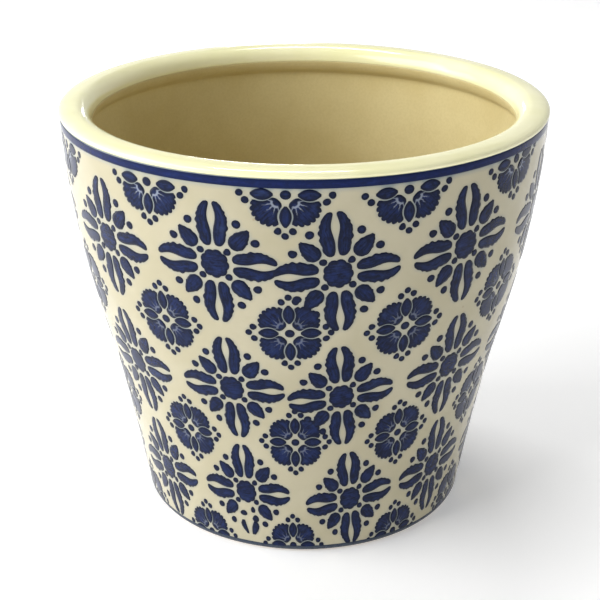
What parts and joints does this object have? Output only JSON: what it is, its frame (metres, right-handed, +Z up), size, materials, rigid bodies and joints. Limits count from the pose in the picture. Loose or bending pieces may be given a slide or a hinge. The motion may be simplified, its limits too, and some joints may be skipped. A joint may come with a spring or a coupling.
{
  "type": "talavera pottery vase",
  "caption": "Open flared round pottery pot with a rolled lip, cream glaze and a blue printed pattern of four-petal medallions and rosettes; stands on a flat foot ring.",
  "frame": {"origin": "centre of the foot ring's resting plane", "axes": "+Z up along the pot's axis of revolution, -Y towards the place where the print's ends meet (its seam), +X to the right of it"},
  "size_m": [0.2012, 0.2012, 0.1765],
  "materials": {
    "clay": "matte",
    "wall_glaze": "gloss",
    "rim_glaze": "gloss",
    "inner_glaze": "satin",
    "blue_print": "gloss",
    "foot_print": "gloss"
  },
  "bodies": {
    "root": {"clay_body": "clay", "inner_glaze": "inner_glaze", "wall_glaze": "wall_glaze", "rim_glaze": "rim_glaze", "base_glaze": "wall_glaze", "rim_line": "blue_print", "foot_line": "foot_print", "upper_medallions": "blue_print", "middle_medallions": "blue_print", "lower_medallions": "blue_print", "rim_half_rosettes": "blue_print", "upper_rosettes": "blue_print", "lower_rosettes": "blue_print", "foot_half_rosettes": "blue_print"}
  },
  "joints": []
}
